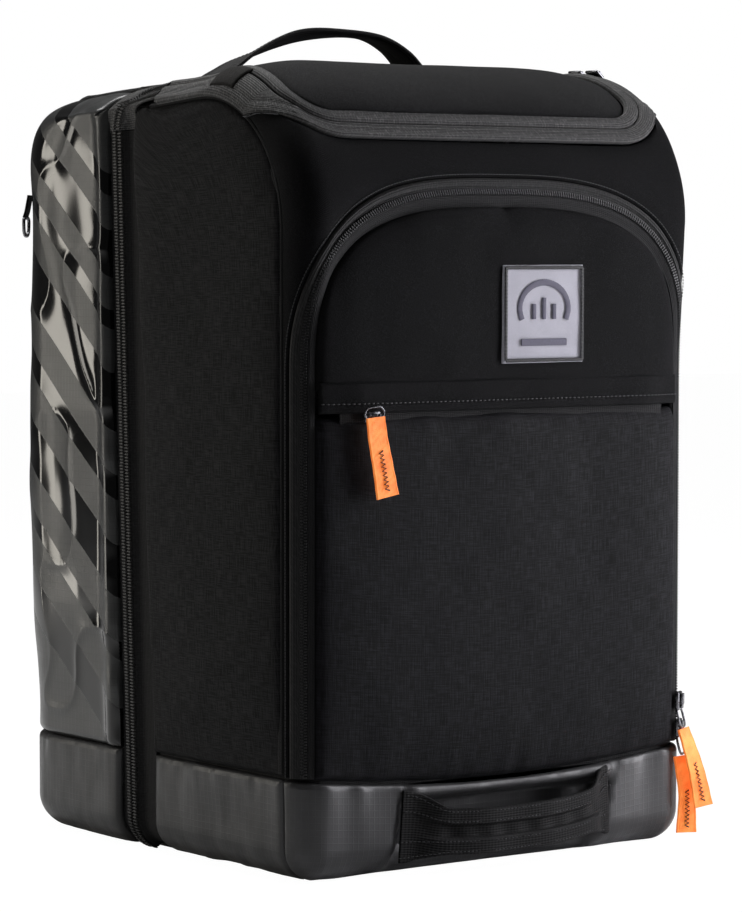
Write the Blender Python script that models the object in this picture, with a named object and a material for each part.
"""Ski boot bag: a zipped front section, a clamshell boot section, a lid and a front pocket.

Metres, +Z up. The origin is on the floor under the middle of the bag, the front faces -Y.
The fabric skins are laid on two closed side outlines, one at the side seams and one along
the middle of the bag, so every panel of the front, top and back follows the same surface.
"""
import math

import bmesh
import bpy
from mathutils import Matrix, Vector

# Overall size and skins
HALF_WIDTH = 0.1625
GAP = 0.0005
ROLL_GAP = 0.0016
SEAM_GAP = 0.0030
PADDED = 0.005
SKIN = 0.0025
TAPE = 0.0016
WEBBING = 0.0018
BASE_THICK = 0.004

# Side outlines as (y, z, corner radius): front bottom, front top, rear top, rear bottom
CENTRE_LINE = [(-0.178, 0.000, 0.020), (-0.180, 0.528, 0.107), (0.180, 0.508, 0.060), (0.168, 0.000, 0.022)]
SIDE_SEAM = [(-0.158, 0.012, 0.008), (-0.158, 0.506, 0.085), (0.130, 0.487, 0.0388), (0.120, 0.0136, 0.008)]

# Lower wall of coated fabric, a rounded rectangle in plan that rolls under the base
WALL_FRONT = -0.1794
WALL_REAR = 0.1694
FRONT_CORNER = 0.0215
REAR_CORNER = 0.050
ROLL = 0.022
WALL_TOP = 0.066

# Side zip between the front section and the boot section
ZIP_FOOT_Y = 0.010
ZIP_SLOPE = 0.035
ZIP_HALF = 0.018
SIDE_TOP = 0.497

# Arched front pocket
ARCH_HALF = 0.160
ARCH_SPRING = 0.320
ARCH_RISE = 0.128
ARCH_POWER = 3.0
ARCH_TAPE = 0.0085
DOOR_INSET = 0.0185
DOOR_TAPE_END = 0.978
SLASH_Z = 0.300
SLASH_SEAM_Z = 0.316
SLASH_SLIDER_X = -0.111
POCKET_DEPTH = 0.028
PULL_LENGTH = 0.058

# Lid over the front section
LID_HALF = 0.160
LID_FRONT = 1.366
LID_HINGE = 2.505
LID_CORNER = 0.045
LID_TAPE = 0.0095
ARC_LENGTH = 0.180

# Boot section
TOP_START = 2.518
TOP_END = 3.300
BACK_END = 4.893
HINGE_Y = 0.172
HINGE_Z = 0.012

# Handles and harness
HANDLE_X = 0.0175
HANDLE_Y = 0.0475
HANDLE_WIDTH = 0.036
HANDLE_FOOT_Z = 0.5245
GRIP_WIDTH = 0.032
STRAP_WIDTH = 0.056
STRAP_THICK = 0.009
PAD_THICK = 0.008


def clear_scene():
    for obj in list(bpy.data.objects):
        bpy.data.objects.remove(obj)


def material(name, colour, roughness, metallic=0.0):
    mat = bpy.data.materials.new(name)
    mat.use_nodes = True
    shader = mat.node_tree.nodes["Principled BSDF"]
    shader.inputs["Base Color"].default_value = (*colour, 1.0)
    shader.inputs["Roughness"].default_value = roughness
    shader.inputs["Metallic"].default_value = metallic
    return mat


def make_object(name, bm, mat, parent=None):
    """A named object from a closed bmesh, with its faces turned outward."""
    bmesh.ops.recalc_face_normals(bm, faces=bm.faces)
    if bm.calc_volume(signed=True) < 0:
        bmesh.ops.reverse_faces(bm, faces=bm.faces)
    mesh = bpy.data.meshes.new(name)
    bm.to_mesh(mesh)
    bm.free()
    mesh.materials.append(mat)
    obj = bpy.data.objects.new(name, mesh)
    bpy.context.collection.objects.link(obj)
    if parent is not None:
        mesh.transform(Matrix.Translation(-parent.location))
        obj.parent = parent
    return obj


def pivot(name, location):
    """An empty on a joint's axis, which the moving pieces hang from."""
    empty = bpy.data.objects.new(name, None)
    empty.location = location
    bpy.context.collection.objects.link(empty)
    return empty


def mix(a, b, t):
    return a + (b - a) * t


def corner_arc(corners, index):
    """Centre, first point and last point of one rounded corner."""
    here = Vector(corners[index][:2])
    back = (Vector(corners[index - 1][:2]) - here).normalized()
    ahead = (Vector(corners[(index + 1) % len(corners)][:2]) - here).normalized()
    half_angle = back.angle(ahead) / 2
    radius = corners[index][2]
    cut = radius / math.tan(half_angle)
    centre = here + (back + ahead).normalized() * (radius / math.sin(half_angle))
    return centre, here + back * cut, here + ahead * cut


def outline(corners, s):
    """Point s on a rounded polygon: even stretches are straight, odd ones are corner arcs."""
    count = len(corners)
    stretch = math.floor(s) % (2 * count)
    t = s - math.floor(s)
    index = (stretch // 2 + stretch % 2) % count
    centre, first, last = corner_arc(corners, index)
    if stretch % 2:
        spoke = (first - centre).normalized().slerp((last - centre).normalized(), t)
        return centre + spoke * corners[index][2]
    return last.lerp(corner_arc(corners, (index + 1) % count)[1], t)


def roll_width(s):
    """How far the panels' edge roll reaches in from the side seam at s."""
    return (outline(CENTRE_LINE, s) - outline(SIDE_SEAM, s)).length


def girth(s, x):
    """Point on the front, top and back skin, which rolls round to the side seams."""
    middle = outline(CENTRE_LINE, s)
    seam = outline(SIDE_SEAM, s)
    width = (middle - seam).length
    t = min(1.0, max(0.0, (abs(x) - HALF_WIDTH + width) / width))
    y, z = seam.lerp(middle, math.sqrt(1.0 - t * t))
    return Vector((x, y, z))


def front_station(z):
    """The outline station on the front where the middle of the bag has height z."""
    centre, first, last = corner_arc(CENTRE_LINE, 1)
    start = corner_arc(CENTRE_LINE, 0)[2]
    if z <= first.y:
        return (z - start.y) / (first.y - start.y)
    radius = CENTRE_LINE[1][2]
    turned = math.asin((z - centre.y) / radius) - math.asin((first.y - centre.y) / radius)
    return 1.0 + turned / (first - centre).angle(last - centre)


def roof_station(y):
    """The outline station on the top where the bag's skin has depth y."""
    start = corner_arc(CENTRE_LINE, 1)[2]
    end = corner_arc(CENTRE_LINE, 2)[1]
    return 2.0 + (y - start.x) / (end.x - start.x)


def face(x, z, lift=0.0):
    """Point on the front face at x and height z, raised outward by lift."""
    s = front_station(z)
    point = girth(s, x)
    if lift:
        across = girth(s, x + 0.001) - girth(s, x - 0.001)
        up = girth(s + 0.004, x) - girth(s - 0.004, x)
        point += across.cross(up).normalized() * lift
    return point


def zip_y(z):
    return ZIP_FOOT_Y + ZIP_SLOPE * z


def side_roll(z):
    """Inset of the side wall where it rolls under the base."""
    drop = max(0.0, ROLL - z)
    return ROLL - math.sqrt(max(0.0, ROLL * ROLL - drop * drop))


def plan(inset):
    """The lower wall's plan, inset: rear left, front left, front right and rear right."""
    half = HALF_WIDTH - inset
    front_radius = max(FRONT_CORNER - inset, 0.001)
    rear_radius = REAR_CORNER - inset
    front = WALL_FRONT + inset
    rear = WALL_REAR - inset
    return [(-half, rear, rear_radius), (-half, front, front_radius),
            (half, front, front_radius), (half, rear, rear_radius)]


def lower_wall(s, v):
    """Point on the coated lower wall: s runs round the plan, v from the seam down and under."""
    straight = 0.4
    if v < straight:
        inset = 0.0
        z = mix(WALL_TOP, ROLL, v / straight)
    else:
        angle = (v - straight) / (1 - straight) * math.pi / 2
        inset = ROLL * (1 - math.cos(angle))
        z = ROLL * (1 - math.sin(angle))
    x, y = outline(plan(inset), s)
    return Vector((x, y, z))


def plate(name, surface, columns, rows, thickness, mat, parent=None):
    """A closed skin: the grid surface(u, v) and its copy offset inward by the thickness."""
    middle = Vector((0.0, 0.0, 0.25))
    outer = []
    inner = []
    for j in range(rows + 1):
        for i in range(columns + 1):
            u = i / columns
            v = j / rows
            point = surface(u, v)
            step = 0.002
            du = surface(min(u + step, 1.0), v) - surface(max(u - step, 0.0), v)
            dv = surface(u, min(v + step, 1.0)) - surface(u, max(v - step, 0.0))
            normal = du.cross(dv).normalized()
            if normal.dot(point - middle) < 0:
                normal = -normal
            outer.append(point)
            inner.append(point - normal * thickness)
    bm = bmesh.new()
    top = [bm.verts.new(p) for p in outer]
    under = [bm.verts.new(p) for p in inner]
    width = columns + 1
    for j in range(rows):
        for i in range(columns):
            a = j * width + i
            bm.faces.new((top[a], top[a + 1], top[a + 1 + width], top[a + width]))
            bm.faces.new((under[a], under[a + width], under[a + 1 + width], under[a + 1]))
    rim = [i for i in range(width)]
    rim += [j * width + columns for j in range(1, rows + 1)]
    rim += [rows * width + i for i in range(columns - 1, -1, -1)]
    rim += [j * width for j in range(rows - 1, 0, -1)]
    for a, b in zip(rim, rim[1:] + rim[:1]):
        bm.faces.new((top[a], top[b], under[b], under[a]))
    return make_object(name, bm, mat, parent)


def ribbon(name, points, across, width, thickness, mat, parent=None):
    """A flat strap along points; across is the direction of its width."""
    bm = bmesh.new()
    rings = []
    for i, point in enumerate(points):
        before = points[max(i - 1, 0)]
        after = points[min(i + 1, len(points) - 1)]
        side = across.normalized() * width / 2
        normal = (after - before).cross(across).normalized() * thickness / 2
        corners = [side + normal, side - normal, -side - normal, -side + normal]
        rings.append([bm.verts.new(point + corner) for corner in corners])
    for a, b in zip(rings, rings[1:]):
        for i in range(4):
            j = (i + 1) % 4
            bm.faces.new((a[i], a[j], b[j], b[i]))
    bm.faces.new(rings[0])
    bm.faces.new(rings[-1])
    return make_object(name, bm, mat, parent)


def block(name, centre, size, mat, parent=None, turn=None, bevel=0.0008):
    """A small bevelled block, turned by a matrix about its centre."""
    bm = bmesh.new()
    bmesh.ops.create_cube(bm, size=1.0)
    bmesh.ops.scale(bm, vec=size, verts=bm.verts)
    bmesh.ops.bevel(bm, geom=bm.edges[:], offset=bevel, segments=1, affect="EDGES")
    if turn is not None:
        bmesh.ops.rotate(bm, matrix=turn, verts=bm.verts)
    bmesh.ops.translate(bm, vec=centre, verts=bm.verts)
    return make_object(name, bm, mat, parent)


def arch_half(z, inset):
    """Half width of the pocket arch at height z, inset from its outer edge."""
    half = ARCH_HALF - inset
    if z <= ARCH_SPRING:
        return half
    rise = (z - ARCH_SPRING) / (ARCH_RISE - inset)
    return half * max(0.0, 1 - rise ** ARCH_POWER) ** (1 / ARCH_POWER)


def arch_path(t, inset):
    """Point (x, z) along the arch: up the left side, over the crown, down the right side."""
    half = ARCH_HALF - inset
    rise = ARCH_RISE - inset
    side = 0.3
    foot = WALL_TOP + 0.002
    if t < side:
        return -half, mix(foot, ARCH_SPRING, t / side)
    if t > 1 - side:
        return half, mix(foot, ARCH_SPRING, (1 - t) / side)
    angle = math.pi * (1 - (t - side) / (1 - 2 * side))
    power = 2 / ARCH_POWER
    x = math.copysign(abs(math.cos(angle)) ** power, math.cos(angle)) * half
    return x, ARCH_SPRING + rise * math.sin(angle) ** power


def arch_band(inner, outer, end=1.0):
    """Surface of a band that follows the arch between two insets, up to the path's point end."""
    def surface(u, v):
        x, z = arch_path(min(u, end), mix(outer, inner, v))
        return face(x, z)
    return surface


def lid_path(t, inset):
    """Point (x, s) round the lid's zip: left side forward, across the front, right side back."""
    half = LID_HALF - inset
    front = LID_FRONT + inset / ARC_LENGTH
    radius = LID_CORNER - inset
    side = 0.3
    turn = 0.42
    if t > 0.5:
        x, s = lid_path(1 - t, inset)
        return -x, s
    if t < side:
        return -half, mix(LID_HINGE, front + radius / ARC_LENGTH, t / side)
    if t < turn:
        angle = (t - side) / (turn - side) * math.pi / 2
        x = -half + radius * (1 - math.cos(angle))
        return x, front + radius * (1 - math.sin(angle)) / ARC_LENGTH
    return mix(-half + radius, 0.0, (t - turn) / (0.5 - turn)), front


def lid_band(inner, outer):
    def surface(u, v):
        x, s = lid_path(u, mix(outer, inner, v))
        return girth(s, x)
    return surface


def gusset_surface(side):
    """Front side panel, ruled from the front and top seam to the side zip."""
    def surface(u, v):
        s_low = front_station(WALL_TOP + 0.001)
        if v < 0.6:
            s = mix(s_low, 1.0, v / 0.6)
        elif v < 0.85:
            s = mix(1.0, 2.0, (v - 0.6) / 0.25)
        else:
            s = mix(2.0, 2.38, (v - 0.85) / 0.15)
        y, z = outline(SIDE_SEAM, s)
        zip_z = mix(WALL_TOP + 0.001, SIDE_TOP, v)
        edge = zip_y(zip_z) - ZIP_HALF - GAP
        return Vector((side * HALF_WIDTH, mix(y, edge, u), mix(z, zip_z, u)))
    return surface


def boot_side_surface(side):
    """Glossy side panel: flat from the zip to the rear seam, then round the rear corner."""
    def surface(u, v):
        if v < 0.7:
            s = mix(BACK_END, 4.0, v / 0.7)
            s_inner = s
        elif v < 0.87:
            s = mix(4.0, 3.0, (v - 0.7) / 0.17)
            s_inner = s
        else:
            s = mix(3.0, 2.76, (v - 0.87) / 0.13)
            s_inner = mix(3.0, 2.54, (v - 0.87) / 0.13)
        flat = 0.5
        if u >= flat:
            t = (u - flat) / (1 - flat)
            station = mix(s, s_inner, t)
            inset = roll_width(station) * (1 - math.cos(t * math.pi / 2))
            return girth(station, side * (HALF_WIDTH - inset))
        y, z = outline(SIDE_SEAM, s)
        zip_z = mix(WALL_TOP + 0.001, SIDE_TOP, v)
        edge = zip_y(zip_z) + ZIP_HALF + GAP
        t = u / flat
        return Vector((side * HALF_WIDTH, mix(edge, y, t), mix(zip_z, z, t)))
    return surface


def side_tape_surface(side, inner, outer):
    """Half of a side zip's tape, from under the base up to the top seam."""
    def surface(u, v):
        roll = 0.14
        if v < roll:
            angle = v / roll * math.pi / 2
            z = ROLL * (1 - math.cos(angle)) + 0.0008
        else:
            z = mix(ROLL, SIDE_TOP, (v - roll) / (1 - roll))
        x = HALF_WIDTH - side_roll(z)
        return Vector((side * x, zip_y(z) + mix(inner, outer, u), z))
    return surface


def girth_panel(s_start, s_end, half=None, lift=0.0):
    """Panel across the middle of the girth between two stations."""
    def surface(u, v):
        s = mix(s_start, s_end, v)
        width = HALF_WIDTH - roll_width(s) - ROLL_GAP if half is None else half
        point = girth(s, mix(-width, width, u))
        if lift:
            ahead = girth(s + 0.01, 0.0) - girth(s - 0.01, 0.0)
            point += ahead.cross(Vector((-1.0, 0.0, 0.0))).normalized() * lift
        return point
    return surface


def lid_surface(u, v):
    inset = 2 * LID_TAPE + 2 * GAP
    radius = LID_CORNER - inset
    front = LID_FRONT + inset / ARC_LENGTH
    s = mix(front, LID_HINGE, v * v if v < 0.5 else v * 1.5 - 0.5)
    ahead = min(radius, (s - front) * ARC_LENGTH)
    half = LID_HALF - inset - radius + math.sqrt(radius * radius - (radius - ahead) ** 2)
    return girth(s, mix(-half, half, u))


def door_surface(z_low, z_high=None):
    """Pocket door region between two heights, or up to the arch's crown."""
    def surface(u, v):
        if z_high is not None:
            z = mix(z_low, z_high, v)
        elif v < 0.2:
            z = mix(z_low, ARCH_SPRING, v / 0.2)
        else:
            angle = (v - 0.2) / 0.8 * math.radians(87)
            z = ARCH_SPRING + (ARCH_RISE - DOOR_INSET) * math.sin(angle) ** (2 / ARCH_POWER)
        half = arch_half(z, DOOR_INSET)
        return face(mix(-half, half, u), z)
    return surface


def frame_surface(u, v):
    """Front panel round the arch: up the sides, over the shoulders and along the lid's zip."""
    x, z = arch_path(u, -0.0006)
    s = front_station(z)
    half = HALF_WIDTH - 0.0004
    shoulder = LID_FRONT + LID_CORNER / ARC_LENGTH
    run = min(u, 1 - u)
    if run < 0.3:
        x_out, s_out = half, s
    elif run < 0.4:
        x_out, s_out = half, mix(front_station(ARCH_SPRING), shoulder, (run - 0.3) / 0.1)
    else:
        x_out, s_out = lid_path(mix(0.3, 0.5, (run - 0.4) / 0.1), -SEAM_GAP)
        x_out = min(abs(x_out), half)
    x_out = math.copysign(x_out, u - 0.5)
    return girth(mix(s, s_out, v), mix(x, x_out, v))


def build_front_section(m):
    build_bottom(m)
    plate("front_lower_band", lambda u, v: lower_wall(mix(1.003, 3.997, u), v), 20, 7, SKIN, m["coated"])
    for side, word in ((-1, "left"), (1, "right")):
        build_front_side(side, word, m)

    plate("front_panel", frame_surface, 36, 3, SKIN, m["twill"])
    plate("pocket_zip_frame_tape", arch_band(ARCH_TAPE, 0.0), 36, 1, TAPE, m["tape"])
    wall_y = -0.180 + POCKET_DEPTH
    block("pocket_back_wall", (0, wall_y, 0.238), (0.276, 0.0016, 0.336), m["lining"], bevel=0.0004)
    block("divider_panel", (0, 0.004, 0.238), (0.305, 0.004, 0.456), m["lining"])
    plate("lid_zip_frame_tape", lid_band(LID_TAPE, 0.0), 40, 1, TAPE, m["tape"])
    for side, word in ((-1, "left"), (1, "right")):
        route = ((0.094, -0.1810, 0.031), (0.084, -0.1815, 0.032), (0.075, -0.1860, 0.034), (0.066, -0.1910, 0.036))
        foot = [Vector((side * x, y, z)) for x, y, z in route]
        ribbon(f"bottom_handle_{word}_end", foot, Vector((0, 0, 1)), GRIP_WIDTH, WEBBING, m["webbing"])
    block("zip_garage", (-0.1540, -0.096, 0.5192), (0.012, 0.028, 0.0012), m["twill"],
          turn=Matrix.Rotation(math.radians(-33), 3, "Y"), bevel=0.0003)


def build_bottom(m):
    """The flat base, a slab with the plan of the lower wall's inner edge."""
    edge = plan(ROLL + 0.0012)
    stations = [i / 6 for i in range(48)]
    bm = bmesh.new()
    base = bm.faces.new([bm.verts.new((*outline(edge, s), 0.0)) for s in stations])
    grown = bmesh.ops.extrude_face_region(bm, geom=[base])
    raised = [item for item in grown["geom"] if isinstance(item, bmesh.types.BMVert)]
    bmesh.ops.translate(bm, vec=(0, 0, BASE_THICK), verts=raised)
    make_object("bottom_panel", bm, m["coated"])


def build_front_side(side, word, m):
    plate(f"{word}_gusset_panel", gusset_surface(side), 6, 16, PADDED, m["ripstop"])
    side_length = WALL_REAR - REAR_CORNER - WALL_FRONT - FRONT_CORNER
    at_zip = (WALL_REAR - REAR_CORNER - (ZIP_FOOT_Y - ZIP_HALF - 0.001)) / side_length
    start, end = (at_zip, 0.997) if side < 0 else (4.003, 5 - at_zip)
    plate(f"{word}_gusset_lower", lambda u, v: lower_wall(mix(start, end, u), v), 5, 7, SKIN, m["coated"])
    plate(f"{word}_zip_front_tape", side_tape_surface(side, -ZIP_HALF, -0.0003), 2, 20, TAPE, m["tape"])


def build_pocket_door(m):
    hinge = pivot("pocket_door_pivot", (0.0, -0.178, WALL_TOP))
    foot = WALL_TOP + 0.002
    tape = arch_band(2 * ARCH_TAPE + GAP, ARCH_TAPE + GAP, DOOR_TAPE_END)
    plate("pocket_zip_door_tape", tape, 36, 1, TAPE, m["tape"], hinge)
    plate("door_lower_panel", door_surface(foot, SLASH_Z - 0.009), 14, 8, SKIN, m["ripstop"], hinge)
    plate("door_upper_panel", door_surface(SLASH_SEAM_Z), 14, 12, SKIN, m["twill"], hinge)
    half = arch_half(0, DOOR_INSET) - 0.008
    block("slash_zip_tape", (0, -0.1776, 0.3036), (2 * half, 0.0014, 0.022), m["tape"], hinge, bevel=0.0003)
    block("slash_flap", (0, -0.1832, 0.3085), (2 * half + 0.006, 0.0016, 0.0170), m["twill"], hinge, bevel=0.0003)
    block("slash_lining", (0, -0.1665, 0.185), (2 * half - 0.02, 0.0014, 0.222), m["lining"], hinge, bevel=0.0003)
    block("badge_patch", (0.028, -0.1812, 0.360), (0.068, 0.0014, 0.064), m["badge"], hinge, bevel=0.0003)
    slider = pivot("slash_slider_pivot", (SLASH_SLIDER_X, -0.180, 0.2965))
    block("slash_slider", (SLASH_SLIDER_X, -0.1805, 0.2960), (0.012, 0.0040, 0.0076), m["metal"], slider)
    tab = pivot("slash_pull_pivot", (SLASH_SLIDER_X, -0.1845, 0.2925))
    line = [Vector((mix(-0.1112, -0.1045, t), -0.1855, mix(0.2915, 0.247, t))) for t in (0, 0.5, 1)]
    ribbon("slash_pull", line, Vector((1, 0, 0.15)), 0.016, 0.0022, m["orange"], tab)


def build_pocket_sliders(m):
    """Two sliders parked at the lower right of the arch, each with its fabric pull."""
    out = (face(0.1535, 0.09, 0.01) - face(0.1535, 0.09)).normalized()
    across = Vector((-out.y, out.x, 0.0))
    turn = Matrix((across, out, Vector((0, 0, 1)))).transposed()
    places = (("upper", 0.0955, 0.0072, 0.0075, 0.0240), ("lower", 0.0770, 0.0050, 0.0060, 0.0120))
    for word, z, lift, near, far in places:
        seat = face(0.1535, z)
        slider = pivot(f"pocket_slider_{word}_pivot", seat)
        block(f"pocket_slider_{word}", seat + out * 0.0026, (0.010, 0.0040, 0.013), m["metal"], slider, turn)
        tab = pivot(f"pocket_pull_{word}_pivot", seat + out * lift + Vector((0, 0, -0.008)))
        top = seat + out * near + Vector((0, 0, -0.0095))
        end = seat + out * far + Vector((0, 0, -0.0095 - PULL_LENGTH))
        line = [top.lerp(end, t) for t in (0.0, 0.5, 1.0)]
        ribbon(f"pocket_pull_{word}", line, across, 0.015, 0.0022, m["orange"], tab)


def build_lid(m):
    hinge = pivot("lid_pivot", (0.0, 0.0265, 0.5235))
    plate("lid_panel", lid_surface, 14, 12, SKIN, m["twill"], hinge)
    plate("lid_zip_lid_tape", lid_band(2 * LID_TAPE + GAP, LID_TAPE + GAP), 40, 1, TAPE, m["tape"], hinge)


def build_main_sliders(m):
    """The two sliders of the main zip meet on the top right edge."""
    for word, y in (("front", -0.086), ("rear", -0.066)):
        seat = girth(roof_station(y), 0.1556) + Vector((0.0015, 0.0, 0.0026))
        tilt = Matrix.Rotation(math.radians(38), 3, "Y")
        slider = pivot(f"main_slider_{word}_pivot", seat)
        block(f"main_slider_{word}", seat, (0.0085, 0.013, 0.0036), m["metal"], slider, tilt)


def build_boot_section(m):
    hinge = pivot("boot_section_pivot", (0.0, HINGE_Y, HINGE_Z))
    plate("boot_top_panel", girth_panel(TOP_START, TOP_END), 8, 8, SKIN, m["ripstop"], hinge)
    plate("back_panel", girth_panel(TOP_END + 0.004, BACK_END), 8, 12, PADDED, m["ripstop"], hinge)
    plate("back_lower_band", lambda u, v: lower_wall(mix(6.004, 6.996, u), v), 6, 7, SKIN, m["coated"], hinge)
    side_length = WALL_REAR - REAR_CORNER - WALL_FRONT - FRONT_CORNER
    at_zip = (WALL_REAR - REAR_CORNER - (zip_y(WALL_TOP) + ZIP_HALF + 0.001)) / side_length
    for side, word in ((-1, "left"), (1, "right")):
        plate(f"{word}_boot_side", boot_side_surface(side), 12, 18, SKIN, m["gloss"], hinge)
        start, end = (-0.996, at_zip) if side < 0 else (5 - at_zip, 5.996)
        wall = (lambda a, b: lambda u, v: lower_wall(mix(a, b, u), v))(start, end)
        plate(f"{word}_boot_lower", wall, 10, 7, SKIN, m["coated"], hinge)
        plate(f"{word}_zip_rear_tape", side_tape_surface(side, 0.0003, ZIP_HALF), 2, 20, TAPE, m["tape"], hinge)
        build_harness_side(side, word, m, hinge)
        route = ((0.116, 0.5178), (0.098, 0.5182), (0.086, 0.5218))
        foot = [Vector((HANDLE_X + side * x, HANDLE_Y, z)) for x, z in route]
        across = Vector((0, 1, 0))
        ribbon(f"top_handle_{word}_foot", foot, across, HANDLE_WIDTH, WEBBING, m["webbing"], hinge)
    yoke = girth_panel(3.93, 4.05, 0.088, 0.0042)
    plate("strap_yoke", yoke, 4, 4, 0.0036, m["webbing"], hinge)
    pad = girth_panel(4.07, 4.74, 0.098, PAD_THICK + 0.0006)
    plate("back_pad", pad, 4, 8, PAD_THICK, m["mesh"], hinge)


def back_point(x, z, lift):
    """Point behind the back panel at x and height z, a distance lift from it."""
    top = corner_arc(CENTRE_LINE, 2)[2]
    low = corner_arc(CENTRE_LINE, 3)[1]
    y = mix(low.x, top.x, (z - low.y) / (top.y - low.y))
    return Vector((x, y + lift, z))


def build_harness_side(side, word, m, hinge):
    lift = PAD_THICK + 0.0014 + STRAP_THICK / 2
    line = [(0.052, 0.432), (0.054, 0.380), (0.066, 0.300), (0.078, 0.220), (0.084, 0.165)]
    path = [back_point(side * x, z, lift) for x, z in line]
    strap_pivot = pivot(f"{word}_strap_pivot", path[0])
    ribbon(f"{word}_shoulder_strap", path, Vector((1, 0, 0)), STRAP_WIDTH, STRAP_THICK, m["mesh"], strap_pivot)
    lock = back_point(side * 0.085, 0.153, lift)
    block(f"{word}_ladder_lock", lock, (0.032, 0.0055, 0.018), m["plastic"], strap_pivot)
    webbing = [back_point(side * 0.086, 0.141, lift), back_point(side * 0.094, 0.105, 0.012)]
    webbing.append(back_point(side * 0.104, 0.070, 0.0045))
    ribbon(f"{word}_lower_webbing", webbing, Vector((1, 0, 0)), 0.024, WEBBING, m["webbing"], hinge)
    tab = Vector((side * 0.7071, 0.7071, 0.0))
    corner = Vector((side * (HALF_WIDTH - REAR_CORNER), 0.1295, 0.0)) + tab * REAR_CORNER
    across = Vector((-tab.y * side, tab.x * side, 0.0))
    seat = [corner + tab * 0.0018 + Vector((0, 0, z)) for z in (0.452, 0.430)]
    ribbon(f"{word}_ring_tab", seat, across, 0.020, WEBBING, m["webbing"], hinge)
    build_ring(f"{word}_ring", corner + tab * 0.0055 + Vector((0, 0, 0.424)), across, m["metal"])


def build_ring(name, top, across, mat):
    """A wire D ring hanging from its straight top bar."""
    holder = pivot(f"{name}_pivot", top)
    wire = 0.0013
    corners = [(-0.0115, 0.0, 0.003), (0.0115, 0.0, 0.003), (0.0095, -0.017, 0.008), (-0.0095, -0.017, 0.008)]
    centres = [outline(corners, s / 3) for s in range(24)]
    out = across.cross(Vector((0, 0, 1)))
    bm = bmesh.new()
    rings = []
    for i, here in enumerate(centres):
        along = (centres[(i + 1) % 24] - centres[i - 1]).normalized()
        ring = []
        for k in range(6):
            angle = k * math.pi / 3
            aside = Vector((along.y, -along.x)) * math.cos(angle) * wire
            place = top + across * (here.x + aside.x) + Vector((0, 0, here.y + aside.y))
            ring.append(bm.verts.new(place + out * math.sin(angle) * wire))
        rings.append(ring)
    for a, b in zip(rings, rings[1:] + rings[:1]):
        for k in range(6):
            j = (k + 1) % 6
            bm.faces.new((a[k], a[j], b[j], b[k]))
    make_object(name, bm, mat, holder)


def build_handles(m):
    hinge = pivot("top_handle_pivot", (HANDLE_X, HANDLE_Y, HANDLE_FOOT_Z))
    shape = [(-0.0795, 0.0), (-0.0640, 0.0095), (-0.0300, 0.0250), (0.0030, 0.0312), (0.0370, 0.0305)]
    shape += [(0.0600, 0.0175), (0.0795, 0.0)]
    arch = [Vector((HANDLE_X + x, HANDLE_Y, HANDLE_FOOT_Z + z)) for x, z in shape]
    ribbon("top_handle_grip", arch, Vector((0, 1, 0)), HANDLE_WIDTH, WEBBING + 0.0012, m["webbing"], hinge)
    grip = pivot("bottom_handle_pivot", (0.0, -0.192, 0.037))
    bow = [Vector((x, -0.1925 - 0.0035 * math.cos(x / 0.062 * math.pi / 2), 0.037))
           for x in (-0.062, -0.040, -0.015, 0.015, 0.040, 0.062)]
    ribbon("bottom_handle_grip", bow, Vector((0, 0, 1)), GRIP_WIDTH - 0.006, 0.0034, m["webbing"], grip)


def build():
    clear_scene()
    black = (0.012, 0.012, 0.014)
    m = {
        "twill": material("fine_twill", black, 0.85),
        "ripstop": material("ripstop_fabric", (0.010, 0.010, 0.012), 0.8),
        "coated": material("coated_band", (0.022, 0.022, 0.026), 0.42),
        "gloss": material("gloss_print_fabric", (0.02, 0.02, 0.023), 0.25),
        "tape": material("zip_tape", (0.008, 0.008, 0.009), 0.7),
        "webbing": material("webbing", (0.010, 0.010, 0.011), 0.75),
        "mesh": material("spacer_mesh", (0.014, 0.014, 0.016), 0.9),
        "lining": material("lining", (0.03, 0.03, 0.034), 0.8),
        "badge": material("badge_patch", (0.42, 0.42, 0.47), 0.5),
        "plastic": material("buckle_plastic", (0.012, 0.012, 0.012), 0.45),
        "metal": material("black_nickel", (0.06, 0.06, 0.065), 0.3, 1.0),
        "orange": material("pull_fabric", (0.95, 0.17, 0.02), 0.6),
    }
    build_front_section(m)
    build_pocket_door(m)
    build_pocket_sliders(m)
    build_lid(m)
    build_main_sliders(m)
    build_boot_section(m)
    build_handles(m)


build()
